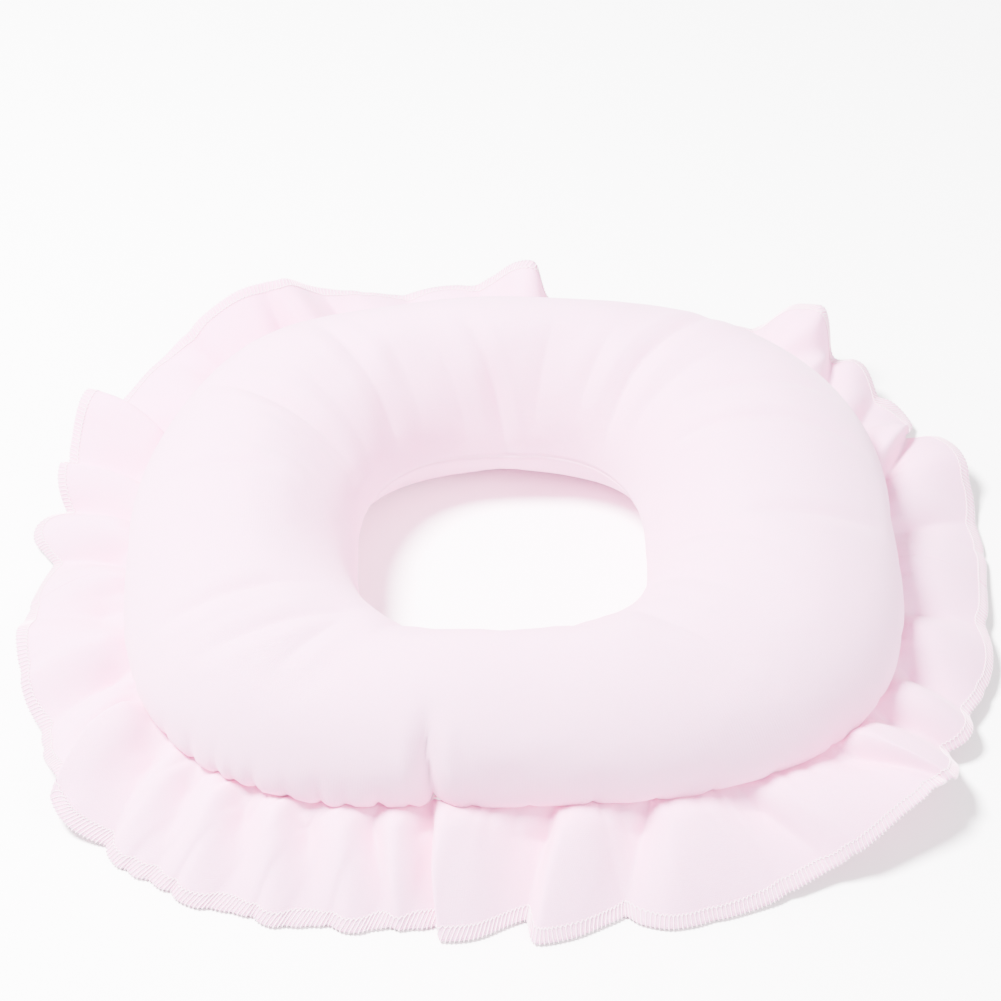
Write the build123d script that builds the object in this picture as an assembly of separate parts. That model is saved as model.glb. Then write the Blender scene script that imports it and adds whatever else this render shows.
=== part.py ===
from build123d import *

# Face cradle cushion: a stuffed ring with a gathered ruffle sewn into its outer seam.
#
# The frame stands on the table: +Z is up, X runs across the cushion, Y runs from the front
# to the back, and the origin is the middle of the footprint, on the table.
#
# Every sewn piece runs round the face hole, so each is drawn as one section that is carried
# round the ring. A section lies in an upright plane. In it, r is measured from the hole seam
# towards the outer seam, and z is the height above the table.

import math
import os

import numpy as np

# ---- Driving dimensions, in millimetres --------------------------------------------------

HALF_LENGTH = 184.0  # hole centre to outer seam, along X
HALF_WIDTH = 150.0  # hole centre to outer seam, along Y
OUTLINE_POWER = 2.85  # 2 is an ellipse, and more is squarer
HOLE_HALF_LENGTH = 71.5  # hole centre to hole seam, along X
HOLE_HALF_WIDTH = 74.0  # hole centre to hole seam, along Y
HOLE_POWER = 2.7

CREST_HEIGHT = 94.0  # table to the top of the stuffed ring
CREST_SHARE = 0.48  # where the crest is, as a share of the way from hole to outer seam
BULGE = 6.0  # how far the top panel stands out past the outer seam
BULGE_RISE = 9.0  # outer seam to the height at which the top panel is widest
OUTER_SEAM_HEIGHT = 27.0
HOLE_SEAM_HEIGHT = 34.0
HOLE_SIDE_ROLL = 24.0  # width of the bottom panel's turn up towards the hole seam
OUTER_SIDE_ROLL = 26.0  # width of the bottom panel's turn up towards the outer seam

CLOTH = 0.6  # thickness of the woven cotton
LAYER_GAP = 0.1  # between two layers of cloth, or cloth and thread
THREAD = 0.5  # thickness of the sewing thread
SEAM_ALLOWANCE = 10.0  # outer seam to the raw edges inside it
HOLE_ALLOWANCE = 8.0  # hole seam to the raw edges inside it
FILLING_GAP = 0.3  # between the filling and whatever holds it
FOLDED_GAP = 0.35  # between the folded ruffle and the stitching that follows it
STITCH_INSET = 1.5  # sewn line to the machine thread that lies beside it
GATHER_INSET = 6.0  # outer seam to the thread that gathers the ruffle

RUFFLE_REACH = 55.0  # outer seam to hem on a crest, seen from above
TROUGH_EXTRA_REACH = 2.0  # how much further the hem reaches in a trough
RUFFLE_FOLDS = 28  # folds round the whole ruffle
HEM_TROUGH_HEIGHT = 1.6  # table to the middle of the cloth, at the bottom of a fold
HEM_CREST_HEIGHT = 19.0  # the same at the top of a fold
RUFFLE_ARCH = 8.0  # how far the ruffle arches above the straight line from seam to hem
STRIP_GAP = 0.2  # between the ends of the two ruffle strips
HEM_STITCH_WIDTH = 5.0  # width of the overlock stitching along the hem
HEM_STITCH = 0.4  # thickness of the overlock stitching on each side of the cloth
JOIN_WIDTH = 6.0  # width of the overlocked join under the ruffle
JOIN_THICKNESS = 0.8
JOIN_FROM_SEAM = 5.0  # outer seam to the start of the join
JOIN_TO_HEM = 7.0  # end of the join to the hem

CLOSED_LENGTH = 96.0  # length of the hand-sewn part of the hole seam, along X
CLOSING_PITCH = 6.0  # from one hand stitch to the next
CLOSING_SLANT = 2.4  # how far a hand stitch moves along the seam
CLOSING_RISE = 4.4  # how far a hand stitch climbs across the seam

RING_STATIONS = 48  # sections round the ring for the smooth pieces
STATIONS_PER_FOLD = 8  # sections in each fold of the ruffle
CURVE_POINTS = 7  # points along the ruffle from the outer seam to the hem

# ---- Heights of the layers in the two seams ----------------------------------------------

RUFFLE_Z = OUTER_SEAM_HEIGHT  # middle of the ruffle's cloth inside the seam
GATHER_Z = RUFFLE_Z + CLOTH / 2 + LAYER_GAP + THREAD / 2
TOP_SEAM_Z = GATHER_Z + THREAD / 2 + LAYER_GAP  # under side of the top panel's allowance
BOTTOM_SEAM_Z = RUFFLE_Z - CLOTH / 2 - LAYER_GAP  # upper side of the bottom panel's
TOP_HOLE_Z = HOLE_SEAM_HEIGHT + LAYER_GAP / 2
BOTTOM_HOLE_Z = HOLE_SEAM_HEIGHT - LAYER_GAP / 2
THREAD_LIFT = CLOTH + LAYER_GAP + THREAD / 2  # an allowance's sewn face to the thread's middle
STACK = THREAD_LIFT + THREAD / 2 + FILLING_GAP  # the same to the filling
WIDEST_Z = OUTER_SEAM_HEIGHT + BULGE_RISE


# ---- Plan of the ring --------------------------------------------------------------------


def outline_point(angle, half_x, half_y, power):
    """A point of a rounded outline, from an angle that runs from +X towards +Y."""
    c, s = math.cos(angle), math.sin(angle)
    x = half_x * math.copysign(abs(c) ** (2 / power), c)
    y = half_y * math.copysign(abs(s) ** (2 / power), s)
    return x, y


def measured_seam():
    """Angles round the outer seam, and the length of the seam up to each.

    The angles lie closer together near the axes, where a point moves fastest with its angle.
    """
    quarter, share = np.divmod(np.linspace(0, 4, 2881), 1)
    angles = math.pi / 2 * (quarter + 3 * share**2 - 2 * share**3)
    seam = [outline_point(a, HALF_LENGTH, HALF_WIDTH, OUTLINE_POWER) for a in angles]
    steps = np.hypot(*np.diff(np.array(seam), axis=0).T)
    return angles, np.concatenate([[0], np.cumsum(steps)])


ANGLES, DISTANCES = measured_seam()
SEAM_LENGTH = float(DISTANCES[-1])
FOLD_LENGTH = SEAM_LENGTH / RUFFLE_FOLDS


class Station:
    """One upright section plane, at a distance along the outer seam from its +X end."""

    def __init__(self, distance):
        angle = float(np.interp(distance % SEAM_LENGTH, DISTANCES, ANGLES))
        hole = outline_point(angle, HOLE_HALF_LENGTH, HOLE_HALF_WIDTH, HOLE_POWER)
        seam = outline_point(angle, HALF_LENGTH, HALF_WIDTH, OUTLINE_POWER)
        outwards = Vector(seam[0] - hole[0], seam[1] - hole[1])
        self.band = outwards.length
        self.crest = CREST_SHARE * self.band
        self.raised = (1 + math.sin(2 * math.pi * distance / FOLD_LENGTH)) / 2
        self.plane = Plane(
            origin=(hole[0], hole[1], 0),
            x_dir=outwards.normalized(),
            z_dir=outwards.normalized().cross(Vector(0, 0, 1)),
        )

    def wire(self, items):
        """A closed wire through items in order, with straight lines where they are apart.

        An item is a point, an edge, or part of an ellipse: its middle, its two radii, and
        the angles in degrees at which it starts and ends.
        """
        drawn = [self.draw(item) for item in items]
        edges = []
        for (_, end, _), (start, _, edge) in zip([drawn[-1], *drawn], drawn):
            if (start - end).length > 1e-6:
                edges.append(Line(end, start))
            if edge:
                edges.append(edge)
        return self.plane.from_local_coords(Wire(edges))

    @staticmethod
    def draw(item):
        """The start, the end and the edge of one item, which for a point is no edge."""
        if isinstance(item, Edge):
            return item @ 0, item @ 1, item
        if len(item) == 2:
            return Vector(*item), Vector(*item), None
        centre, radii, start, end = item
        edge = EllipticalCenterArc(centre, *radii, start_angle=start, arc_size=end - start)
        return edge @ 0, edge @ 1, edge


def backwards(arcs):
    return [(centre, radii, end, start) for centre, radii, start, end in reversed(arcs)]


def ring(section, count):
    """A closed ring: a section carried once round the cushion, in that many stations."""
    wires = [
        Station(d).wire(section(Station(d)))
        for d in np.linspace(0, SEAM_LENGTH, count, endpoint=False)
    ]
    return solid_of(Shell.make_loft([*wires, wires[0]]).faces())


def stretch(section, distances):
    """A piece with flat ends: a section carried through the stations at those distances."""
    wires = [Station(d).wire(section(Station(d))) for d in distances]
    return outwards_facing(Solid.make_loft(wires))


def solid_of(faces):
    """A solid from the faces round it, with a true plane for a face on the table."""
    shell = Shell([on_the_table(f) if f.bounding_box().max.Z < 1e-3 else f for f in faces])
    return outwards_facing(Solid(shell))


def outwards_facing(solid):
    return solid if solid.volume > 0 else -solid


def on_the_table(face):
    """The flat ring between the two closed edges of a face that lies at height 0."""
    rims = [Wire([e]) for e in face.edges() if e.is_closed]
    inner, outer = sorted(rims, key=lambda w: w.length)
    return Face(outer, [inner])


# ---- Sections of the stuffed ring --------------------------------------------------------


def angle_at(height, radius):
    """Degrees round an ellipse at which it has gone that far up or down."""
    return math.degrees(math.asin(height / radius))


def over_the_top(station, depth, hole_rise, seam_rise):
    """The top panel's curve, that deep inside its outer face, from hole to outer seam.

    It starts and ends that far above the top panel's sewn faces at the two seams.
    """
    crest, band = station.crest, station.band
    hole_radii = crest - depth, CREST_HEIGHT - TOP_HOLE_Z - depth
    side_radii = band + BULGE - crest - depth, CREST_HEIGHT - WIDEST_Z - depth
    under_radii = BULGE - depth, WIDEST_Z - TOP_SEAM_Z - depth
    start = 180 - angle_at(hole_rise, hole_radii[1])
    end = -angle_at(WIDEST_Z - TOP_SEAM_Z - seam_rise, under_radii[1])
    return [
        ((crest, TOP_HOLE_Z), hole_radii, start, 90),
        ((crest, WIDEST_Z), side_radii, 90, 0),
        ((band, WIDEST_Z), under_radii, 0, end),
    ]


def under_the_base(station, depth, hole_drop, seam_drop):
    """The bottom panel's curve, that deep inside its outer face, from hole to outer seam.

    It starts and ends that far below the bottom panel's sewn faces at the two seams.
    """
    turn = station.band - OUTER_SIDE_ROLL
    hole_radii = HOLE_SIDE_ROLL - depth, BOTTOM_HOLE_Z - depth
    seam_radii = OUTER_SIDE_ROLL - depth, BOTTOM_SEAM_Z - depth
    start = 180 + angle_at(hole_drop, hole_radii[1])
    end = 360 - angle_at(seam_drop, seam_radii[1])
    return [
        ((HOLE_SIDE_ROLL, BOTTOM_HOLE_Z), hole_radii, start, 270),
        ((turn, BOTTOM_SEAM_Z), seam_radii, 270, end),
    ]


def top_panel_section(station):
    raw_edge = station.band - SEAM_ALLOWANCE
    return [
        *over_the_top(station, 0, 0, 0),
        (raw_edge, TOP_SEAM_Z),
        (raw_edge, TOP_SEAM_Z + CLOTH),
        *backwards(over_the_top(station, CLOTH, CLOTH, CLOTH)),
        (HOLE_ALLOWANCE, TOP_HOLE_Z + CLOTH),
        (HOLE_ALLOWANCE, TOP_HOLE_Z),
    ]


def bottom_panel_section(station):
    raw_edge = station.band - SEAM_ALLOWANCE
    return [
        *under_the_base(station, 0, 0, 0),
        (raw_edge, BOTTOM_SEAM_Z),
        (raw_edge, BOTTOM_SEAM_Z - CLOTH),
        *backwards(under_the_base(station, CLOTH, CLOTH, CLOTH)),
        (HOLE_ALLOWANCE, BOTTOM_HOLE_Z - CLOTH),
        (HOLE_ALLOWANCE, BOTTOM_HOLE_Z),
    ]


def filling_section(station):
    """The filling: it fills both panels, and stops short of the folded-in allowances."""
    depth = CLOTH + FILLING_GAP
    at_seam = station.band - SEAM_ALLOWANCE - FILLING_GAP
    at_hole = HOLE_ALLOWANCE + FILLING_GAP
    return [
        (at_hole, TOP_HOLE_Z + STACK),
        *over_the_top(station, depth, STACK, STACK),
        (at_seam, TOP_SEAM_Z + STACK),
        (at_seam, BOTTOM_SEAM_Z - STACK),
        *backwards(under_the_base(station, depth, STACK, STACK)),
        (at_hole, BOTTOM_HOLE_Z - STACK),
    ]


# ---- Sections of the ruffle --------------------------------------------------------------


def ruffle_curve(station, offset, start=0.0, stop=1.0, count=CURVE_POINTS):
    """Points that far above the middle of the ruffle's cloth, from outer seam to hem.

    start and stop are shares of the way from the outer seam to the hem.
    """
    hem_z = HEM_TROUGH_HEIGHT + (HEM_CREST_HEIGHT - HEM_TROUGH_HEIGHT) * station.raised
    reach = RUFFLE_REACH + TROUGH_EXTRA_REACH * (1 - station.raised)
    points = []
    for share in np.linspace(start, stop, count):
        r = station.band + reach * share
        z = RUFFLE_Z + (hem_z - RUFFLE_Z) * share + 4 * RUFFLE_ARCH * share * (1 - share)
        climb = hem_z - RUFFLE_Z + 4 * RUFFLE_ARCH * (1 - 2 * share)
        length = math.hypot(reach, climb)
        points.append((r - offset * climb / length, z + offset * reach / length))
    return points


def past_the_hem(station, offset, distance):
    """The end of the ruffle's curve, moved on past the hem by that distance."""
    (r0, z0), (r1, z1) = ruffle_curve(station, offset)[-2:]
    length = math.hypot(r1 - r0, z1 - z0)
    return r1 + distance * (r1 - r0) / length, z1 + distance * (z1 - z0) / length


def ruffle_section(station):
    half = CLOTH / 2
    raw_edge = station.band - SEAM_ALLOWANCE
    over, under = ruffle_curve(station, half), ruffle_curve(station, -half)
    return [
        (raw_edge, RUFFLE_Z - half),
        (raw_edge, RUFFLE_Z + half),
        Spline(*over),
        Spline(*reversed(under)),
    ]


def hem_section(station):
    """The overlock stitching, wrapped over the cut edge of the ruffle."""
    inner = CLOTH / 2 + FOLDED_GAP
    outer = inner + HEM_STITCH
    start = 1 - HEM_STITCH_WIDTH / RUFFLE_REACH
    return [
        *ruffle_curve(station, outer, start, count=2),
        past_the_hem(station, outer, FOLDED_GAP + HEM_STITCH),
        past_the_hem(station, -outer, FOLDED_GAP + HEM_STITCH),
        *reversed(ruffle_curve(station, -outer, start, count=2)),
        *ruffle_curve(station, -inner, start, count=3),
        past_the_hem(station, -inner, FOLDED_GAP),
        past_the_hem(station, inner, FOLDED_GAP),
        *reversed(ruffle_curve(station, inner, start, count=3)),
    ]


def join_section(station):
    """The overlocked join of the two strips, which lies under the ruffle."""
    start = JOIN_FROM_SEAM / RUFFLE_REACH
    stop = 1 - JOIN_TO_HEM / RUFFLE_REACH
    upper = -CLOTH / 2 - FOLDED_GAP
    over = ruffle_curve(station, upper, start, stop)
    under = ruffle_curve(station, upper - JOIN_THICKNESS, start, stop)
    return [Spline(*over), Spline(*reversed(under))]


def strip_distances(start, end):
    """Stations along one ruffle strip, which stops half a gap short of each end."""
    count = round((end - start) / FOLD_LENGTH * STATIONS_PER_FOLD)
    inside = np.linspace(start, end, count + 1)[1:-1]
    return [start + STRIP_GAP / 2, *inside, end - STRIP_GAP / 2]


def join_distances(middle):
    return middle + np.linspace(-JOIN_WIDTH / 2, JOIN_WIDTH / 2, 5)


# ---- Threads -----------------------------------------------------------------------------


def thread_section(inset, height, from_hole=False):
    """A thread's round section, that far inside the outer seam or the hole seam."""

    def section(station):
        middle = (inset if from_hole else station.band - inset), height
        radii = THREAD / 2, THREAD / 2
        return [(middle, radii, start, start + 90) for start in range(0, 360, 90)]

    return section


def sewn_hole_distances():
    """Stations round the machine-sewn part of the hole seam, past the hand-sewn part."""
    share = CLOSED_LENGTH / 2 / HOLE_HALF_LENGTH
    half_angle = math.pi / 2 - math.acos(share ** (HOLE_POWER / 2))
    front = 1.5 * math.pi
    start, end = np.interp([front + half_angle, front - half_angle], ANGLES, DISTANCES)
    return np.linspace(start, end + SEAM_LENGTH, RING_STATIONS)


def hole_front(x, clearance):
    """A point of the hole seam's front side, moved into the hole by a clearance."""
    share = abs(x) / HOLE_HALF_LENGTH
    y = -HOLE_HALF_WIDTH * (1 - share**HOLE_POWER) ** (1 / HOLE_POWER)
    inwards = Vector(
        -math.copysign(share ** (HOLE_POWER - 1) / HOLE_HALF_LENGTH, x),
        abs(y / HOLE_HALF_WIDTH) ** (HOLE_POWER - 1) / HOLE_HALF_WIDTH,
    )
    return Vector(x, y) + inwards.normalized() * clearance


def closing_stitches():
    """Slanting hand stitches, side by side, that close the gap left for the filling."""
    count = round(CLOSED_LENGTH / CLOSING_PITCH)
    clearance = LAYER_GAP + THREAD / 2
    stitches = []
    for i in range(count):
        x = (i - (count - 1) / 2) * CLOSING_PITCH
        low = hole_front(x - CLOSING_SLANT / 2, clearance)
        high = hole_front(x + CLOSING_SLANT / 2, clearance)
        low.Z = HOLE_SEAM_HEIGHT - CLOSING_RISE / 2
        high.Z = HOLE_SEAM_HEIGHT + CLOSING_RISE / 2
        along = Plane(origin=low, z_dir=high - low)
        stitches.append(Solid.make_cylinder(THREAD / 2, (high - low).length, along))
    return Compound(stitches)


# ---- The pieces --------------------------------------------------------------------------


def pieces():
    half_way = SEAM_LENGTH / 2
    fold_stations = RUFFLE_FOLDS * STATIONS_PER_FOLD
    sewn_hole = sewn_hole_distances()
    return {
        "top_panel": ring(top_panel_section, RING_STATIONS),
        "bottom_panel": ring(bottom_panel_section, RING_STATIONS),
        "fibre_filling": ring(filling_section, RING_STATIONS),
        "ruffle_back": stretch(ruffle_section, strip_distances(0, half_way)),
        "ruffle_front": stretch(ruffle_section, strip_distances(half_way, SEAM_LENGTH)),
        "ruffle_join_right": stretch(join_section, join_distances(0)),
        "ruffle_join_left": stretch(join_section, join_distances(half_way)),
        "hem_overlock": ring(hem_section, fold_stations),
        "gathering_thread": ring(thread_section(GATHER_INSET, GATHER_Z), RING_STATIONS),
        "outer_seam_needle_thread": ring(
            thread_section(STITCH_INSET, TOP_SEAM_Z + THREAD_LIFT), RING_STATIONS
        ),
        "outer_seam_bobbin_thread": ring(
            thread_section(STITCH_INSET, BOTTOM_SEAM_Z - THREAD_LIFT), RING_STATIONS
        ),
        "hole_seam_needle_thread": stretch(
            thread_section(STITCH_INSET, TOP_HOLE_Z + THREAD_LIFT, from_hole=True), sewn_hole
        ),
        "hole_seam_bobbin_thread": stretch(
            thread_section(STITCH_INSET, BOTTOM_HOLE_Z - THREAD_LIFT, from_hole=True), sewn_hole
        ),
        "closing_stitches": closing_stitches(),
    }


os.makedirs("parts", exist_ok=True)
for name, piece in pieces().items():
    piece.label = name
    export_step(piece, f"parts/{name}.step")
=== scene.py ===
# Face cradle cushion in pale pink cotton: a stuffed ring with a gathered ruffle in its seam.
#
# The ring and the ruffle are grids of points. A row of a grid runs once round the cushion,
# beginning on the right and passing the back, the left and the front, and a column runs
# across the cloth. "Turn" is a place round the cushion, in degrees of the outer seam's
# length, so that 0 is the right end, 90 the back, 180 the left end and 270 the front.

import math

import bpy
import numpy as np
from mathutils import Matrix, Vector


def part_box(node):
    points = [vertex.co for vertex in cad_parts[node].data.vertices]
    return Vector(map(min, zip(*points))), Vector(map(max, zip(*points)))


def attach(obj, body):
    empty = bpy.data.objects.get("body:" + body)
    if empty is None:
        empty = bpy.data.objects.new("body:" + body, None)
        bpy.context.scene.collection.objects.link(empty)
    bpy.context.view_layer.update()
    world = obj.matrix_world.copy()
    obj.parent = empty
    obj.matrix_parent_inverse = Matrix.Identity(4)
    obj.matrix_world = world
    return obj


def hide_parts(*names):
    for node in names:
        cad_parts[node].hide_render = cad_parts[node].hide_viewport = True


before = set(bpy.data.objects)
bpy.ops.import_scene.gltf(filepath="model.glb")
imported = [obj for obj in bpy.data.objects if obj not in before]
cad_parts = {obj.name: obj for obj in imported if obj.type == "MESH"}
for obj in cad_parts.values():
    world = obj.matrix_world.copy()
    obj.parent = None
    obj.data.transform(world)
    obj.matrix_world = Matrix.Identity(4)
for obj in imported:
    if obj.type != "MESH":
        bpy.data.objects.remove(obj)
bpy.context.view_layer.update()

MM = 0.001
UP = np.array([0, 0, 1.0])


def box_mm(node):
    """A node's lowest and highest corners, in millimetres."""
    low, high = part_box(node)
    return np.array(low) / MM, np.array(high) / MM


# ---- Sizes, in millimetres ---------------------------------------------------------------

SEAM_HALF = box_mm("bottom_panel")[1][:2]  # cushion's middle to the outer seam, along X and Y
SEAM_POWER = 2.85  # 2 is an ellipse, and more is squarer
THREAD_INSET = 1.75  # the hole's seam to the outside of the thread beside it
HOLE_HALF = box_mm("hole_seam_needle_thread")[1][:2] - THREAD_INSET
HOLE_POWER = 2.7
CREST_Z = box_mm("top_panel")[1][2]
OUTER_SEAM_Z = box_mm("gathering_thread")[0][2]
HOLE_SEAM_Z = sum(box_mm("closing_stitches"))[2] / 2
BULGE = box_mm("top_panel")[1][0] - SEAM_HALF[0]
BULGE_RISE = 9.0
CREST_SHARE = 0.48
HOLE_ROLL = 36.0  # width of the under side's turn up to the hole
WEDGE = (14.0, 4.0)  # what that turn heads for, out from the seam and up from the table
OUTER_ROLL = 26.0  # width of the under side's turn up to the outer seam

CLOTH = 0.6
ALLOWANCE = 7.0  # cloth turned in past a seam
RUFFLE_DEPTH = 62.0  # outer seam to hem, along the cloth

TURNS_ROUND = 240  # points round the ring that the stuffing is worked out on
TOP_POINTS = 44  # points across the top panel
BASE_POINTS = 28  # points across the bottom panel


# ---- Small helpers for grids of points ---------------------------------------------------


def rounded_outline(angle, half, power):
    c, s = np.cos(angle), np.sin(angle)
    x = half[0] * np.sign(c) * np.abs(c) ** (2 / power)
    y = half[1] * np.sign(s) * np.abs(s) ** (2 / power)
    return np.stack([x, y], axis=-1)


def measured_seam():
    """Angles round the outer seam, and the length of the seam up to each."""
    quarter, share = np.divmod(np.linspace(0, 4, 4001), 1)
    angles = math.pi / 2 * (quarter + 3 * share**2 - 2 * share**3)
    seam = rounded_outline(angles, SEAM_HALF, SEAM_POWER)
    return angles, np.concatenate([[0], np.cumsum(np.hypot(*np.diff(seam, axis=0).T))])


SEAM_ANGLES, SEAM_DISTANCES = measured_seam()
SEAM_LENGTH = SEAM_DISTANCES[-1]


def stations(turns):
    """At each turn: the hole seam's point, the outer seam's, the way out, and the distance."""
    angle = np.interp(np.mod(turns, 360) / 360 * SEAM_LENGTH, SEAM_DISTANCES, SEAM_ANGLES)
    hole = rounded_outline(angle, HOLE_HALF, HOLE_POWER)
    seam = rounded_outline(angle, SEAM_HALF, SEAM_POWER)
    band = np.linalg.norm(seam - hole, axis=-1, keepdims=True)
    return hole, seam, (seam - hole) / band, band


def normals_of(grid, closed_round=True, closed_across=False):
    """Unit normals of a grid, pointing to the left of a row as seen along it."""

    def steps(axis, closed):
        if closed:
            return np.roll(grid, -1, axis) - np.roll(grid, 1, axis)
        return np.gradient(grid, axis=axis)

    n = np.cross(steps(0, closed_round), steps(1, closed_across))
    return n / np.maximum(np.linalg.norm(n, axis=-1, keepdims=True), 1e-9)


def refined(grid):
    """A grid closed both ways, with a smooth new point between each two."""
    for axis in (0, 1):
        near = grid + np.roll(grid, -1, axis)
        far = np.roll(grid, 1, axis) + np.roll(grid, -2, axis)
        between = (9 * near - far) / 16
        grid = np.stack([grid, between], axis=axis + 1)
        shape = list(grid.shape)
        shape[axis : axis + 2] = [shape[axis] * 2]
        grid = grid.reshape(shape)
    return grid


def grid_mesh(name, grid, closed_round, closed_across=False, turned=False):
    """A mesh object from a grid in millimetres, with a UV map in metres along the cloth.

    Its faces point to the left of a row, or to the right when it is turned.
    """
    rows, columns = grid.shape[:2]
    i = np.arange(rows if closed_round else rows - 1)[:, None]
    j = np.arange(columns if closed_across else columns - 1)[None, :]
    corners = [(i, j), (i + 1, j), (i + 1, j + 1), (i, j + 1)]
    if turned:
        corners = corners[::-1]
    faces = np.stack([(a % rows) * columns + b % columns for a, b in corners], axis=-1)
    mesh = bpy.data.meshes.new(name)
    mesh.from_pydata((grid.reshape(-1, 3) * MM).tolist(), [], faces.reshape(-1, 4).tolist())
    along = np.linalg.norm(np.diff(grid, axis=0, append=grid[:1]), axis=-1).mean()
    across = np.linalg.norm(np.diff(grid, axis=1), axis=-1).mean()
    uv = np.stack(
        [
            np.stack(np.broadcast_arrays(a * along * MM, b * across * MM), axis=-1)
            for a, b in corners
        ],
        axis=-2,
    )
    mesh.uv_layers.new(name="cloth").data.foreach_set("uv", uv.astype(np.float32).ravel())
    mesh.polygons.foreach_set("use_smooth", [True] * len(mesh.polygons))
    piece = bpy.data.objects.new(name, mesh)
    bpy.context.collection.objects.link(piece)
    return piece


def apply_modifiers(piece):
    bpy.ops.object.select_all(action="DESELECT")
    piece.select_set(True)
    bpy.context.view_layer.objects.active = piece
    for modifier in list(piece.modifiers):
        bpy.ops.object.modifier_apply(modifier=modifier.name)


def thickened(piece, thickness, offset=-1.0):
    """Gives a sheet its thickness, on the inner side unless the offset says otherwise."""
    wall = piece.modifiers.new("cloth thickness", "SOLIDIFY")
    wall.thickness = thickness * MM
    wall.offset = offset
    wall.use_even_offset = False
    apply_modifiers(piece)
    return piece


def smooth_step(x):
    x = np.clip(x, 0, 1)
    return x * x * (3 - 2 * x)


def waves(turns, seed, shortest, longest, count):
    """A sum of waves round the cushion, from -1 to 1, with whole numbers of periods."""
    rng = np.random.default_rng(seed)
    total = np.zeros_like(turns, dtype=float)
    for _ in range(count):
        periods = rng.integers(longest, shortest + 1)
        total += np.sin(np.radians(turns) * periods + rng.uniform(0, 2 * math.pi))
    return total / math.sqrt(count) / 1.6


# ---- The stuffed ring --------------------------------------------------------------------


def ellipse_run(middle, radii, start, end, count):
    angle = np.radians(np.linspace(start, end, count))
    return middle[0] + radii[0] * np.cos(angle), middle[1] + radii[1] * np.sin(angle)


def hole_roll(count):
    """The under side's turn up to the hole, which meets the top panel in a wedge."""
    t = np.linspace(0, 1, count)
    r = HOLE_ROLL * (1 - t) ** 2 + 2 * t * (1 - t) * WEDGE[0]
    return r, 2 * t * (1 - t) * WEDGE[1] + HOLE_SEAM_Z * t**2


def ring_section(band):
    """Distance out from the hole seam, and height, at points round one section of the ring.

    It starts at the hole seam, goes over the top to the outer seam, and returns underneath.
    """
    crest = CREST_SHARE * band
    widest = OUTER_SEAM_Z + BULGE_RISE
    share = np.array([0.46, 0.44, 0.10])
    counts = np.round(share * TOP_POINTS).astype(int) + 1
    turn = band - OUTER_ROLL
    flat = BASE_POINTS // 2
    runs = [
        ellipse_run((crest, HOLE_SEAM_Z), (crest, CREST_Z - HOLE_SEAM_Z), 180, 90, counts[0]),
        ellipse_run((crest, widest), (band + BULGE - crest, CREST_Z - widest), 90, 0, counts[1]),
        ellipse_run((band, widest), (BULGE, BULGE_RISE), 0, -90, counts[2]),
        ellipse_run((turn, OUTER_SEAM_Z), (OUTER_ROLL, OUTER_SEAM_Z), 0, -90, flat // 2 + 1),
        (np.linspace(turn, HOLE_ROLL, flat), np.zeros(flat)),
        hole_roll(flat // 2 + 1),
    ]
    r = np.concatenate([run[0][:-1] for run in runs])
    z = np.concatenate([run[1][:-1] for run in runs])
    return r, z, int(sum(counts - 1))


def plain_ring():
    """The ring as it is cut and sewn, before it is stuffed: a grid closed both ways."""
    turns = np.arange(TURNS_ROUND) * 360 / TURNS_ROUND
    hole, _, out, band = stations(turns)
    rows = []
    for h, o, b in zip(hole, out, band[:, 0]):
        r, z, seam_at = ring_section(b)
        rows.append(np.column_stack([h[0] + o[0] * r, h[1] + o[1] * r, z]))
    return np.array(rows), seam_at


SWELL_CAP = 1.8  # furthest that the filling moves the cloth
FILLING_INSET = 1.8  # outside of the cloth to the filling
RING_LOWEST = 0.2  # the lowest that the ring lies
HOLE_TO_LEFT = 5.0
BACK_FULLER = 5.0
FRONT_LOWER = 6.0
CREASE_SPAN = 75  # how far from its middle a crease is felt


def outward(normal, grid):
    """The normals, turned to point out of the ring."""
    volume = np.einsum("ijk,ijk->", normal, grid - grid.mean(axis=1, keepdims=True))
    return normal if volume > 0 else -normal


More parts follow.
